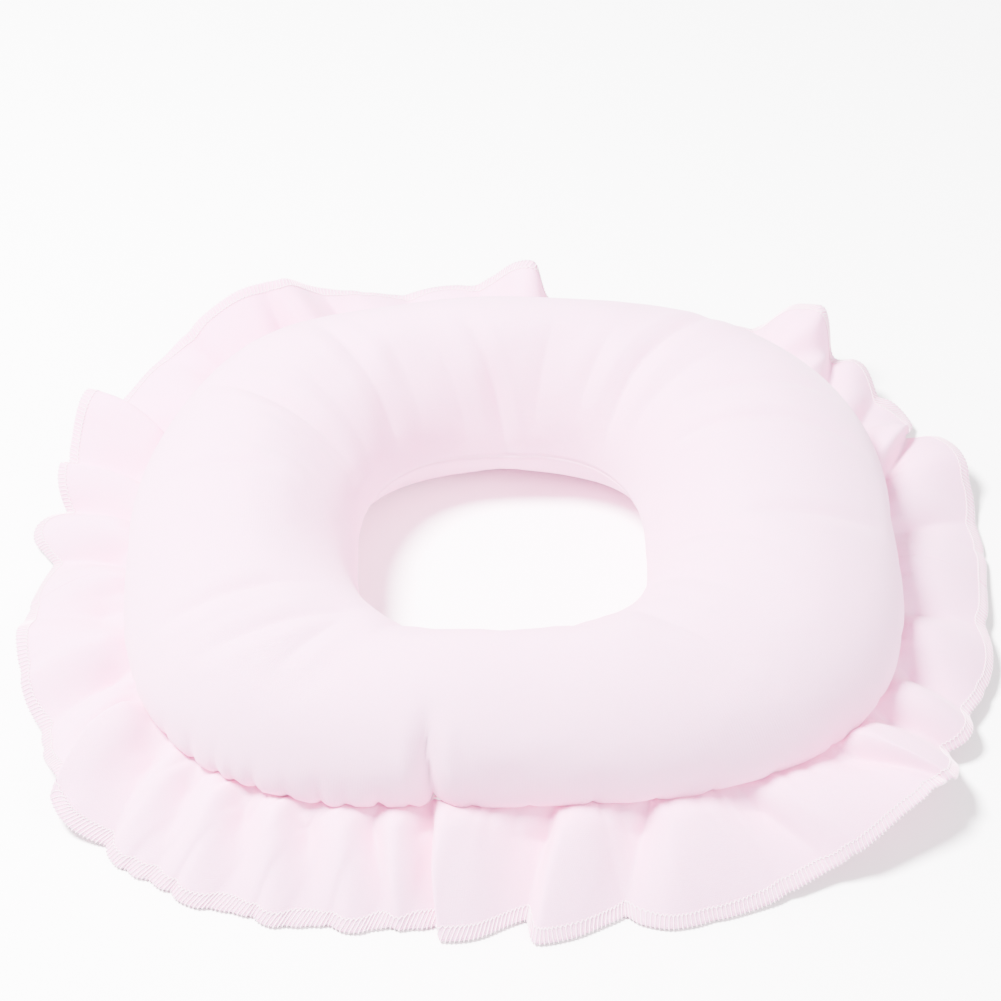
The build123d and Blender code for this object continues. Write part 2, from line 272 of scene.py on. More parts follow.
def stuffed(grid, seam_at):
    """The ring after the filling has pushed the cloth out against its two seams.

    The seams are pinned and the cloth is cut a little longer than they are, so it puckers
    towards them. How far a point may move is capped, and the under side stays flat.
    """
    piece = grid_mesh("ring_to_stuff", grid, True, True, turned=True)
    pins = piece.vertex_groups.new(name="seams")
    rows, columns = grid.shape[:2]
    pins.add([i * columns + j for i in range(rows) for j in (0, seam_at)], 1.0, "REPLACE")
    cloth = piece.modifiers.new("stuffing", "CLOTH")
    cloth.settings.quality = 6
    cloth.settings.mass = 0.2
    cloth.settings.tension_stiffness = 25
    cloth.settings.compression_stiffness = 25
    cloth.settings.shear_stiffness = 10
    cloth.settings.bending_stiffness = 0.4
    cloth.settings.vertex_group_mass = "seams"
    cloth.settings.shrink_min = -0.05
    cloth.settings.use_pressure = True
    cloth.settings.uniform_pressure_force = 4
    cloth.settings.effector_weights.gravity = 0
    cloth.collision_settings.use_self_collision = False
    for number in range(1, 21):
        bpy.context.scene.frame_set(number)
    shape = piece.evaluated_get(bpy.context.evaluated_depsgraph_get()).data
    moved = np.empty(len(shape.vertices) * 3)
    shape.vertices.foreach_get("co", moved)
    bpy.data.objects.remove(piece)
    bpy.context.scene.frame_set(1)
    normal = outward(normals_of(grid, True, True), grid)
    swell = np.sum((moved.reshape(grid.shape) / MM - grid) * normal, axis=-1)
    even = swell.mean(axis=0, keepdims=True)
    share = np.arange(columns)[None, :] / seam_at
    calm = 0.2 + 0.3 * smooth_step((share - 0.12) / 0.4) + 0.5 * smooth_step((share - 0.8) / 0.2)
    swell = (swell - even) * calm
    for axis in (0, 1, 0, 1):
        swell = (np.roll(swell, 1, axis) + 2 * swell + np.roll(swell, -1, axis)) / 4
    return grid + normal * (SWELL_CAP * np.tanh(swell / SWELL_CAP))[:, :, None]


def settled(grid):
    """The ring as its filling has settled: fuller at the back, with the hole to the left."""
    rise = np.clip(grid[..., 2] / CREST_Z, 0, 1)
    near_hole = 1 - smooth_step((np.abs(grid[..., 0]) - HOLE_HALF[0]) / (SEAM_HALF - HOLE_HALF)[0])
    grid = grid + 0
    grid[..., 0] -= HOLE_TO_LEFT * near_hole
    back = np.clip(grid[..., 1] / SEAM_HALF[1], -1, 1)
    grid[..., 2] += rise * np.where(back > 0, BACK_FULLER * back, FRONT_LOWER * back)
    grid[..., 1] -= 2.0 * rise * smooth_step(-back)
    return grid


# Creases of the top panel, where the cloth is drawn in between two fuller places. Each runs
# from one (turn, share of the way from the hole to the outer seam) to another, with a depth
# and a half-width in millimetres.
CREASES = [
    ((150, 0.66), (155, 0.12), 4.9, 3.4),
    ((158, 0.44), (158, 0.14), 2.3, 3.0),
    ((169, 0.52), (170, 0.24), 1.4, 3.0),
    ((175, 0.66), (176, 0.34), 3.5, 3.4),
    ((205, 0.70), (213, 0.32), 3.8, 3.4),
    ((216, 0.66), (227, 0.28), 3.5, 3.4),
    ((229, 0.60), (229, 0.36), 2.3, 3.4),
    ((127, 0.56), (133, 0.10), 3.8, 3.8),
    ((142, 0.44), (146, 0.12), 2.0, 3.0),
    ((119, 0.46), (121, 0.14), 1.4, 3.4),
    ((98, 0.44), (86, 0.02), 4.1, 3.1),
    ((108, 0.36), (104, 0.06), 1.7, 3.4),
    ((75, 0.44), (74, 0.10), 1.4, 3.4),
    ((51, 0.68), (45, 0.10), 4.3, 3.8),
    ((60, 0.46), (58, 0.16), 1.7, 3.4),
    ((38, 0.52), (36, 0.18), 1.7, 3.4),
    ((29, 0.34), (22, 0.68), 2.9, 3.2),
    ((19, 0.26), (10, 0.72), 3.8, 2.7),
    ((345, 0.38), (353, 0.72), 3.5, 3.4),
    ((345, 0.12), (338, 0.52), 2.9, 3.8),
    ((327, 0.16), (324, 0.50), 2.0, 3.8),
    ((307, 0.26), (313, 0.68), 2.6, 3.8),
    ((257, 0.58), (260, 1.00), 7.2, 3.8),
    ((239, 0.42), (236, 0.08), 1.7, 3.4),
    ((292, 0.36), (290, 0.06), 1.7, 3.4),
    ((269, 0.34), (270, 0.08), 1.2, 3.4),
]

# Short puckers that run up from the outer seam: turn, and depth in millimetres.
PUCKERS = [
    (221, 2.6), (226, 3.0), (229, 1.8), (232.5, 3.4), (238, 2.0), (243, 3.0), (247, 2.4),
    (251.5, 3.2), (256, 2.4),
    (265, 1.4), (273, 1.0), (282, 2.0), (291, 1.0), (299, 1.4), (308, 1.2), (318, 1.6),
    (329, 1.2), (341, 1.4), (353, 1.2), (6, 1.6), (17, 1.2), (30, 1.6), (42, 1.2), (55, 1.5),
    (68, 1.2), (80, 1.4), (93, 1.2), (106, 1.6), (119, 1.2), (131, 1.6), (144, 1.2),
    (157, 1.5), (169, 1.2), (181, 1.6), (193, 1.4), (204, 1.6), (215, 1.6),
]


def crease_path(grid, seam_at, start, end):
    """Points of the top panel's surface along a crease."""
    rows = grid.shape[0]
    along = np.linspace(0, 1, 160)
    turn = start[0] + (end[0] - start[0]) * along
    share = start[1] + (end[1] - start[1]) * along
    row, column = turn / 360 * rows, np.clip(share, 0, 1) * seam_at
    i, j = row.astype(int), column.astype(int)
    t, u = (row - i)[:, None], (column - j)[:, None]
    low = grid[i % rows, j] * (1 - t) + grid[(i + 1) % rows, j] * t
    high = grid[i % rows, j + 1] * (1 - t) + grid[(i + 1) % rows, j + 1] * t
    return low * (1 - u) + high * u


def creased(grid, seam_at):
    """Draws the creases and puckers into the stuffed ring, and a slow unevenness."""
    normal = outward(normals_of(grid, True, True), grid)
    rows, columns = grid.shape[:2]
    depth = np.zeros((rows, columns))
    for start, end, deepest, width in CREASES:
        path = crease_path(grid, seam_at, start, end)
        close = np.linalg.norm(grid - path[80], axis=-1) < CREASE_SPAN
        apart = np.linalg.norm(grid[close][:, None, :] - path[None], axis=-1)
        nearest = apart.argmin(axis=-1)
        distance = apart.min(axis=-1) / width
        taper = np.sin(math.pi * np.clip(nearest / (len(path) - 1), 0.04, 0.96)) ** 0.6
        if end[1] >= 1:
            taper = smooth_step(nearest / (len(path) - 1) / 0.5)
        valley = 0.72 * np.exp(-(distance**1.25) * 1.3) + 0.28 * np.exp(-((distance / 3) ** 2))
        shoulders = np.exp(-(((distance - 2.6) / 1.0) ** 2))
        depth[close] += deepest * taper * (valley - 0.16 * shoulders)
    turns = (np.arange(rows) * 360 / rows)[:, None]
    share = np.arange(columns)[None, :] / seam_at
    for turn, deepest in PUCKERS:
        off = (np.mod(turns - turn + 180, 360) - 180) / 360 * SEAM_LENGTH
        climb = smooth_step((share - 0.80) / 0.20) * (share <= 1.0)
        under = smooth_step((1.30 - share) / 0.30) * (share > 1.0) * 0.7
        width = 1.8 + 9 * np.clip(1 - share, 0, 1)
        depth += deepest * np.exp(-((off / width) ** 2)) * (climb + under)
    on_top = smooth_step(share * 4) * smooth_step((1.0 - share) * 6)
    lumps = waves(turns, 7, 9, 3, 5) * np.sin(math.pi * np.clip(share, 0, 1)) * 1.6
    depth -= lumps * on_top
    return grid - normal * depth[:, :, None]


# ---- The ruffle --------------------------------------------------------------------------

# How the ruffle lies as a whole: turn, then the hem's height above the table and its reach
# from the outer seam, in millimetres.
LIE = [
    (0, 6, 55), (8, 3, 59), (14, 5, 60), (20, 20, 60), (25, 19, 58), (31, 3, 51), (37, 14, 58),
    (42, 27, 60), (45, 26, 58), (47, 44, 57), (51, 43, 58), (56, 30, 60), (61, 20, 60), (68, 20, 58),
    (76, 16, 56), (82, 26, 57), (86.5, 60, 50), (90, 50, 54), (97, 39, 59), (103, 37, 60),
    (108, 43, 59), (113, 54, 56), (118, 68, 48), (124, 69, 47), (129, 54, 55), (136, 31, 60),
    (142, 23, 61), (147, 27, 61), (151, 44, 58), (154, 33, 59), (159, 24, 60), (163, 9, 57),
    (168, 4, 58), (175, 4, 58), (182, 12, 61), (188, 25, 61), (193, 15, 58), (199, 6, 55),
    (206, 8, 55), (211, 16, 56), (216, 8, 60), (221, 2, 60), (230, 1, 60), (245, 1, 59),
    (255, 1, 57), (264, 1, 55), (273, 1, 55), (284, 1, 57), (296, 2, 58), (303, 8, 57), (309, 18, 56),
    (315, 30, 57), (319, 34, 58), (323, 22, 54), (328, 12, 46), (334, 12, 46), (341, 8, 48),
    (349, 9, 51),
]

# Folds of the ruffle. A fold rises between one valley and the next: the valley's turn at the
# seam and at the hem, then the height of the fold after it in millimetres, and where its
# ridge lies between the two valleys, as a share, and how much of its height is left at the
# hem. A low share makes a steep, pleated edge. The last number is higher for a narrow ridge
# beside a wide valley.
FOLDS = [
    (5, 12, 12, 0.42, 0.4, 1.0), (15.5, 31, 16, 0.30, 0.8, 1.0), (24, 37.5, 11, 0.50, 0.3, 1.2),
    (35, 46, 17, 0.30, 0.8, 1.0), (48, 57, 12, 0.50, 0.4, 1.0), (58, 65, 12, 0.40, 0.6, 1.1),
    (69, 75, 11, 0.60, 0.5, 1.0), (80, 84, 14, 0.30, 0.6, 1.0), (90, 92, 11, 0.50, 0.3, 1.0),
    (98, 101, 13, 0.45, 0.2, 0.9), (110, 112, 11, 0.55, 0.15, 1.0),
    (122, 121, 10, 0.50, 0.15, 1.0), (134, 131, 15, 0.45, 0.2, 1.3),
    (150, 147, 17, 0.28, 0.6, 1.1), (159, 157, 13, 0.35, 0.5, 1.2), (168, 162.5, 18, 0.40, 0.9, 1.0),
    (177, 171, 16, 0.45, 0.25, 1.1), (187, 184, 18, 0.62, 0.3, 1.2), (199, 201, 12, 0.45, 0.3, 1.0),
    (205, 213, 22, 0.22, 0.45, 1.5), (214, 221.5, 12, 0.50, 0.25, 0.9),
    (221, 229, 14, 0.62, 0.25, 1.1), (230, 240, 15, 0.62, 0.25, 1.3),
    (240, 249.5, 14, 0.60, 0.25, 1.2), (250, 257.5, 17, 0.40, 0.4, 2.0),
    (259, 263.5, 24, 0.18, 0.5, 1.5), (277, 272, 22, 0.20, 0.6, 1.2),
    (291, 282, 19, 0.26, 0.35, 1.0), (303.5, 305, 14, 0.28, 0.1, 0.8),
    (318, 321, 17, 0.30, 0.5, 1.0), (328, 329, 14, 0.42, 0.5, 1.2), (338, 336, 15, 0.50, 0.35, 1.0),
    (349, 352, 10, 0.50, 0.25, 0.9),
]


def round_the_turns(knots, turns):
    """Smooth values at any turn, from values at a few turns, going once round."""
    at = np.array([k[0] for k in knots], dtype=float)
    at = np.concatenate([at[-2:] - 360, at, at[:2] + 360])
    values = np.array([k[1:] for k in knots], dtype=float)
    values = np.concatenate([values[-2:], values, values[:2]])
    slope = np.gradient(values, at, axis=0)
    i = np.clip(np.searchsorted(at, turns, side="right") - 1, 0, len(at) - 2)
    gap = (at[i + 1] - at[i])[:, None]
    t = ((turns - at[i])[:, None]) / gap
    low, high = values[i], values[i + 1]
    low_rise, high_rise = slope[i] * gap * 0.7, slope[i + 1] * gap * 0.7
    return (
        low * (2 * t**3 - 3 * t**2 + 1)
        + low_rise * (t**3 - 2 * t**2 + t)
        + high * (3 * t**2 - 2 * t**3)
        + high_rise * (t**3 - t**2)
    )


def between_valleys(valleys, turns):
    """The valleys before and after each turn, and the share of the way between them."""
    order = np.argsort(np.mod(valleys, 360))
    at = np.mod(valleys, 360)[order]
    at = np.concatenate([[at[-1] - 360], at, [at[0] + 360]])
    order = np.concatenate([[order[-1]], order, [order[0]]])
    i = np.clip(np.searchsorted(at, np.mod(turns, 360), side="right") - 1, 0, len(at) - 2)
    return order[i], order[i + 1], (np.mod(turns, 360) - at[i]) / (at[i + 1] - at[i])


def fold_shape(share, ridge, narrow=0.85):
    """A rounded fold between two sharp valleys, from 0 to 1, with its ridge at a share."""
    lean = math.log(0.5) / np.log(ridge)
    return np.sin(math.pi * np.clip(share, 0, 1) ** lean) ** narrow


GATHER_PITCH = 10.5  # along the outer seam, between the small gathers


def small_gathers():
    """Turns of the small gathers' valleys, and how strong each gather is."""
    rng = np.random.default_rng(21)
    count = int(SEAM_LENGTH / GATHER_PITCH)
    at = (np.arange(count) + rng.uniform(-0.3, 0.3, count)) * 360 / count
    return np.mod(at, 360), rng.uniform(0.35, 1.0, count)


LOWEST = 0.5  # the lowest that the cloth's middle lies
SOFT_REST = 2.5  # the height below which the table bears it up
ARCH = 7  # rise of the cloth between the outer seam and the hem
GATHER_HEIGHT = 3.4  # of the small gathers, at the seam
OVERHANG = 8  # lean of the steepest pleats over their valley


def softened(cloth, axis):
    """The cloth with its folds a little eased along one way, and its edges as they were."""
    before, after = np.roll(cloth, 1, axis), np.roll(cloth, -1, axis)
    eased = (before + 2 * cloth + after) / 4
    if axis == 0:
        eased[[0, -1]] = (cloth[[-2, -2]] + 2 * cloth[[0, -1]] + cloth[[1, 1]]) / 4
    else:
        eased[:, :4] = cloth[:, :4]
        eased[:, -1] = cloth[:, -1]
    return eased


def ruffle_grid(turns, seam_line, shares):
    """The ruffle's cloth: a row for each turn, and a column for each share of its depth.

    A share of 0 is at the outer seam and 1 is at the hem. Below 0 it lies inside the seam.
    """
    _, _, out, _ = stations(turns)
    out3 = np.column_stack([out, np.zeros(len(out))])
    along = np.stack([-out[:, 1], out[:, 0], np.zeros(len(out))], axis=-1)
    height, reach = round_the_turns(LIE, turns).T
    folds = np.array(FOLDS)
    lean = np.mod(folds[:, 1] - folds[:, 0] + 180, 360) - 180
    gathers_at, strength = small_gathers()
    gather, _, gather_share = between_valleys(gathers_at, turns)
    small = fold_shape(gather_share, np.full(len(turns), 0.45)) - 0.6
    small *= strength[gather]
    on_table = smooth_step(1 - (height - 3) / 14)
    columns = []
    for share in shares:
        s = max(share, 0.0)
        arch = 4 * s * (1 - s) * (ARCH - 0.04 * height)
        rise = (height - seam_line[:, 2]) * s**1.1 + arch
        middle = seam_line + out3 * (reach * share)[:, None]
        middle[:, 2] += rise
        slope = ((height - seam_line[:, 2]) * 1.1 * s**0.1 + 4 * (1 - 2 * s) * ARCH) / reach
        tilt = np.column_stack([-out * slope[:, None], np.ones(len(out))])
        tilt /= np.linalg.norm(tilt, axis=-1, keepdims=True)
        flat = (on_table * s**2)[:, None]
        way = tilt * (1 - flat) + out3 * flat
        valley, after, along_fold = between_valleys(folds[:, 0] + lean * s, turns)
        ridge = folds[valley, 3]
        shape = fold_shape(along_fold, ridge, folds[valley, 5])
        height_left = min(s * 3.6, 1) * (1 - (1 - folds[:, 4]) * s**2.5)
        tall = folds[:, 2] * height_left
        sunk = 0.33 * (tall + np.roll(tall, 1))
        level = sunk[valley] * (1 - along_fold) + sunk[after] * along_fold
        push = tall[valley] * shape - level
        push += GATHER_HEIGHT * small * math.exp(-4.0 * s) * smooth_step(s * 9)
        steep = np.clip((0.42 - ridge) / 0.2, 0, 1)
        over = np.exp(-(((along_fold - ridge) / 0.16) ** 2)) * steep * OVERHANG * smooth_step(s * 1.6)
        point = middle + way * push[:, None] - along * over[:, None]
        columns.append(point)
    cloth = np.stack(columns, axis=1)
    for axis in (0, 1, 0, 1, 0):
        cloth = softened(cloth, axis)
    low = cloth[..., 2] < SOFT_REST
    rest = LOWEST + (SOFT_REST - LOWEST) * np.exp((cloth[..., 2] - SOFT_REST) / 2)
    cloth[..., 2] = np.where(low, rest, cloth[..., 2])
    return cloth


# ---- Threads -----------------------------------------------------------------------------


def tube(name, path, radius, sides=5, closed=False):
    """A thread along a path of points in millimetres."""
    ahead = np.roll(path, -1, axis=0) - np.roll(path, 1, axis=0)
    if not closed:
        ahead[0], ahead[-1] = path[1] - path[0], path[-1] - path[-2]
    ahead /= np.linalg.norm(ahead, axis=-1, keepdims=True)
    side = np.cross(ahead, UP)
    side /= np.maximum(np.linalg.norm(side, axis=-1, keepdims=True), 1e-6)
    rise = np.cross(side, ahead)
    angle = np.arange(sides) * 2 * math.pi / sides
    grid = (
        path[:, None]
        + radius * np.cos(angle)[None, :, None] * side[:, None]
        + radius * np.sin(angle)[None, :, None] * rise[:, None]
    )
    return grid_mesh(name, grid, closed, True)


def joined(name, pieces):
    bpy.ops.object.select_all(action="DESELECT")
    for piece in pieces:
        piece.select_set(True)
    bpy.context.view_layer.objects.active = pieces[0]
    bpy.ops.object.join()
    pieces[0].name = name
    return pieces[0]


# ---- Materials ---------------------------------------------------------------------------


def linear(hex_colour):
    """An sRGB hex colour as linear RGBA."""
    values = [int(hex_colour[i : i + 2], 16) / 255 for i in (1, 3, 5)]
    line = [v / 12.92 if v <= 0.04045 else ((v + 0.055) / 1.055) ** 2.4 for v in values]
    return (*line, 1.0)


def node(tree, kind, settings=None, **links):
    """A new node with its settings, and a link or a value for each named input."""
    made = tree.nodes.new(kind)
    for key, value in (settings or {}).items():
        setattr(made, key, value)
    for key, value in links.items():
        socket = made.inputs[key.replace("_", " ")]
        if isinstance(value, bpy.types.NodeSocket):
            tree.links.new(value, socket)
        else:
            socket.default_value = value
    return made


def woven_cotton(name, lit, deep, thread_mm=0.9):
    """Plain-woven cotton, washed and soft: matt, faintly fuzzy, and a little translucent.

    The real threads are about 0.4 mm apart. They are drawn coarser so that they show.
    """
    material = bpy.data.materials.new(name)
    material.use_nodes = True
    tree = material.node_tree
    shader = tree.nodes["Principled BSDF"]
    shader.inputs["Roughness"].default_value = 0.88
    shader.inputs["Sheen Weight"].default_value = 0.2
    shader.inputs["Sheen Roughness"].default_value = 0.5
    shader.inputs["Sheen Tint"].default_value = linear("#FFF4FA")
    shader.inputs["Subsurface Weight"].default_value = 0.4
    shader.inputs["Subsurface Radius"].default_value = (1.0, 0.4, 0.6)
    shader.inputs["Subsurface Scale"].default_value = 0.005
    shader.inputs["Specular IOR Level"].default_value = 0.25
    uv = node(tree, "ShaderNodeUVMap", {"uv_map": "cloth"}).outputs["UV"]
    place = node(tree, "ShaderNodeTexCoord").outputs["Object"]
    per_metre = 2 * math.pi / (thread_mm * MM) / 20
    threads = [
        node(
            tree, "ShaderNodeTexWave",
            {"wave_type": "BANDS", "bands_direction": way, "wave_profile": "SIN"},
            Vector=uv, Scale=per_metre, Distortion=0.6, Detail=1.0,
        ).outputs["Fac"]
        for way in ("X", "Y")
    ]
    weave = node(tree, "ShaderNodeMath", {"operation": "ADD"})
    tree.links.new(threads[0], weave.inputs[0])
    tree.links.new(threads[1], weave.inputs[1])
    slubs = node(tree, "ShaderNodeTexNoise", Vector=place, Scale=900.0, Detail=3.0).outputs["Fac"]
    rumple = node(tree, "ShaderNodeTexNoise", Vector=place, Scale=45.0, Detail=5.0).outputs["Fac"]
    fine = node(
        tree, "ShaderNodeBump", Strength=0.18, Distance=0.0003, Height=weave.outputs[0]
    ).outputs["Normal"]
    fuzz = node(
        tree, "ShaderNodeBump", Strength=0.15, Distance=0.0004, Height=slubs, Normal=fine
    ).outputs["Normal"]
    soft = node(
        tree, "ShaderNodeBump", Strength=0.25, Distance=0.002, Height=rumple, Normal=fuzz
    ).outputs["Normal"]
    tree.links.new(soft, shader.inputs["Normal"])
    tint = node(tree, "ShaderNodeMix", {"data_type": "RGBA"})
    tree.links.new(slubs, tint.inputs["Factor"])
    tint.inputs["A"].default_value = linear(deep)
    tint.inputs["B"].default_value = linear(lit)
    tree.links.new(tint.outputs["Result"], shader.inputs["Base Color"])
    return material


def spun_thread(name, colour):
    """Spun polyester sewing thread: matt, with a slight shine along its ply."""
    material = bpy.data.materials.new(name)
    material.use_nodes = True
    tree = material.node_tree
    shader = tree.nodes["Principled BSDF"]
    shader.inputs["Roughness"].default_value = 0.6
    shader.inputs["Sheen Weight"].default_value = 0.2
    place = node(tree, "ShaderNodeTexCoord").outputs["Object"]
    ply = node(tree, "ShaderNodeTexNoise", Vector=place, Scale=2500.0, Detail=1.0).outputs["Fac"]
    ramp = node(tree, "ShaderNodeValToRGB", Fac=ply)
    ramp.color_ramp.elements[0].color = [c * 0.9 for c in linear(colour)[:3]] + [1]
    ramp.color_ramp.elements[1].color = linear(colour)
    tree.links.new(ramp.outputs["Color"], shader.inputs["Base Color"])
    bump = node(tree, "ShaderNodeBump", Strength=0.4, Distance=0.0001, Height=ply)
    tree.links.new(bump.outputs["Normal"], shader.inputs["Normal"])
    return material


def paper_floor():
    material = bpy.data.materials.new("white_backdrop_paper")
    material.use_nodes = True
    shader = material.node_tree.nodes["Principled BSDF"]
    shader.inputs["Base Color"].default_value = linear("#FAFAFA")
    shader.inputs["Roughness"].default_value = 0.9
    return material


PANEL_COTTON = woven_cotton("pale_pink_woven_cotton_panels", "#FCB0D9", "#F9A6D2")
RUFFLE_COTTON = woven_cotton("pale_pink_woven_cotton_ruffle", "#FCAED8", "#F9A4D1")
SEWING_THREAD = spun_thread("pale_pink_polyester_thread", "#FCDCEC")
# The filling is hidden by the cover, so it has the cloth's recipe in white.
FILL = woven_cotton("white_polyester_fibre", "#F6F6F4", "#EDEDEA")


def finished(piece, material, slot, *replaced):
    piece.data.materials.clear()
    piece.data.materials.append(material)
    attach(piece, "root")
    if replaced:
        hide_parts(*replaced)
    return piece


# ---- Making the ring ---------------------------------------------------------------------

ring, seam_at = plain_ring()
ring = stuffed(ring, seam_at)
ring = refined(ring)
seam_at *= 2
ring = settled(ring)
ring = creased(ring, seam_at)
ring[..., 2] = np.maximum(ring[..., 2], RING_LOWEST)

turns = np.arange(ring.shape[0]) * 360 / ring.shape[0]
_, _, out, _ = stations(turns)
out3 = np.column_stack([out, np.zeros(len(out))])


def with_allowances(grid, way, hole_first, side):
    """A panel with the cloth that is turned in past its two seams.

    The way leads out from the hole, and the side is 1 for the top panel and -1 for the
    bottom one, which lie above and below the ruffle's own allowance.
    """
    grid = grid + 0
    steps = np.array([1.0, 0.66, 0.33]) * ALLOWANCE
    at_hole, at_outer = (0, -1) if hole_first else (-1, 0)
    grid[:, at_hole] += UP * 0.05 * side
    grid[:, at_outer] += UP * 0.35 * side
    hole = [grid[:, at_hole] + way * s + UP * 0.1 * side for s in steps]
    outer = [grid[:, at_outer] - way * s + UP * 0.55 * side for s in steps]
    first, last = (hole, outer) if hole_first else (outer, hole)
    return np.concatenate([np.stack(first, 1), grid, np.stack(last[::-1], 1)], axis=1)


top = with_allowances(ring[:, : seam_at + 1], out3, True, 1)
base = np.concatenate([ring[:, seam_at:], ring[:, :1]], axis=1)
base = with_allowances(base, out3, False, -1)
top_piece = grid_mesh("top_panel_cloth", top, True, turned=True)
base_piece = grid_mesh("bottom_panel_cloth", base, True, turned=True)
filling = ring - outward(normals_of(ring, True, True), ring) * FILLING_INSET
filling_piece = grid_mesh("fibre_filling_ring", filling, True, True, turned=True)

finished(thickened(top_piece, CLOTH), PANEL_COTTON, "panel_cotton", "top_panel")
finished(thickened(base_piece, CLOTH), PANEL_COTTON, "panel_cotton", "bottom_panel")
finished(filling_piece, FILL, "fibre_fill", "fibre_filling")

# ---- Making the ruffle -------------------------------------------------------------------

ROWS_ROUND = 1440
# Columns of the ruffle: two inside the seam, and the rest from the seam to the hem.
SHARES = [-0.12, -0.06, *np.linspace(0, 1, 42)]
ruffle_turns = np.arange(ROWS_ROUND + 1) * 360 / ROWS_ROUND
seam_line = ring[:, seam_at]
closed_seam = np.concatenate([seam_line, seam_line[:1]])
seam_fine = np.column_stack(
    [np.interp(ruffle_turns, np.append(turns, 360), closed_seam[:, k]) for k in range(3)]
)
cloth = ruffle_grid(ruffle_turns, seam_fine, SHARES)
half = ROWS_ROUND // 2
TURNED_DOWN = 5.5  # cloth beyond each join, folded down under the ruffle
JOIN_GAP = 0.4  # half the space between two turned down ends
ENDS_LOWEST = 0.45  # the lowest that a turned down end lies
JOIN_WINDS = 20  # winds of thread round a join
JOIN_THREAD_RADIUS = 0.22


def with_turned_ends(strip):
    """A strip whose two ends fold down side by side with the other strip's."""
    normal = normals_of(strip, False, False)
    normal *= np.sign(normal[..., 2].mean())
    depth = TURNED_DOWN * smooth_step((1 - np.array(SHARES)) / 0.14)[:, None] + 0.3
    ends = []
    for end, next_row in ((0, 1), (-1, -2)):
        inwards = strip[next_row] - strip[end]
        inwards /= np.linalg.norm(inwards, axis=-1, keepdims=True)
        edge = strip[end] + inwards * JOIN_GAP
        rows = [edge - normal[end] * depth * share for share in (0.0, 0.12, 0.5, 1.0)]
        rows[1] -= inwards * 0.06
        ends.append(np.stack([np.maximum(row, [-np.inf, -np.inf, ENDS_LOWEST]) for row in rows]))
    return np.concatenate([ends[0][::-1], strip[1:-1], ends[1]])


strips = {"ruffle_back": cloth[: half + 1], "ruffle_front": cloth[half:]}
for node_name, strip in strips.items():
    piece = grid_mesh(node_name + "_strip", with_turned_ends(strip), False, turned=True)
    thickened(piece, CLOTH, offset=0.0)
    finished(piece, RUFFLE_COTTON, "ruffle_cotton", node_name)


def join_stitches(join_node, row):
    """Overlock thread wound round the two turned down ends at a join, from seam to hem."""
    normal = normals_of(cloth, False, False)
    normal *= np.sign(normal[..., 2].mean())
    along = np.gradient(cloth, axis=0)[row]
    along /= np.linalg.norm(along, axis=-1, keepdims=True)
    angle = np.arange(0, JOIN_WINDS * 2 * math.pi, math.pi / 6)
    column = 2 + np.interp(angle, [0, angle[-1]], [0.10, 0.80]) * (cloth.shape[1] - 3)
    j = column.astype(int)
    u = (column - j)[:, None]
    line = cloth[row, j] * (1 - u) + cloth[row, j + 1] * u
    down, side = normal[row, j], along[j]
    below, aside = 3.4 - 2.6 * np.cos(angle), 1.05 * np.sin(angle)
    path = line - down * below[:, None] + side * aside[:, None]
    thread = tube(join_node + "_thread", path, JOIN_THREAD_RADIUS, 5)
    return finished(thread, SEWING_THREAD, "sewing_thread", join_node)


join_stitches("ruffle_join_right", 0)
join_stitches("ruffle_join_left", half)

# ---- Making the hem's overlock stitches --------------------------------------------------


def cloth_at(grid, lift, places, shares):
    """Points of the ruffle at given rows and shares, lifted off its middle."""
    normal = normals_of(grid, False, False)
    row = np.clip(places, 0, grid.shape[0] - 1.001)
    i = row.astype(int)
    t = (row - i)[:, None]
    column = 2 + np.clip(shares, 0, 1) * (grid.shape[1] - 3)
    j = np.clip(column.astype(int), 0, grid.shape[1] - 2)
    u = (column - j)[:, None]

    def mixed(values):
        low = values[i, j] * (1 - t) + values[i + 1, j] * t
        high = values[i, j + 1] * (1 - t) + values[i + 1, j + 1] * t
        return low * (1 - u) + high * u

    return mixed(grid) + mixed(normal) * np.asarray(lift)[:, None]


STITCH_PITCH = 2.1
STITCH_WIDTH = 5.4
STITCH_SIDES = 4
CHAIN_SWING = 0.5  # to either side of the chain's middle
THREAD_RADIUS = 0.26
STITCH_LIFT = CLOTH / 2 + THREAD_RADIUS


def stitch_paths(grid, hem_length, inner):
    """A slanting stitch's path over the hem and back underneath, at each pitch of the hem."""
    count = int(hem_length[-1] / STITCH_PITCH)
    starts, row_numbers = np.arange(count) * STITCH_PITCH, np.arange(len(hem_length))
    rows = np.interp(starts, hem_length, row_numbers)
    slant = np.interp(starts + STITCH_PITCH * 0.8, hem_length, row_numbers)
    mid = (rows + slant) / 2
    lift = np.full(count, STITCH_LIFT)
    at_hem, at_inner = np.ones(count), np.full(count, inner)
    halfway = np.full(count, (inner + 1) / 2)
    hem = cloth_at(grid, lift * 0, rows, at_hem)
    out_of_hem = hem - cloth_at(grid, lift * 0, rows, np.full(count, 0.97))
    out_of_hem /= np.linalg.norm(out_of_hem, axis=-1, keepdims=True)
    points = [
        cloth_at(grid, lift, slant, at_inner),
        cloth_at(grid, lift, mid, halfway),
        cloth_at(grid, lift, rows, at_hem),
        hem + out_of_hem * STITCH_LIFT,
        cloth_at(grid, -lift, rows, at_hem),
        cloth_at(grid, -lift, mid, halfway),
        cloth_at(grid, -lift, slant, at_inner),
    ]
    return np.stack(points, axis=1)


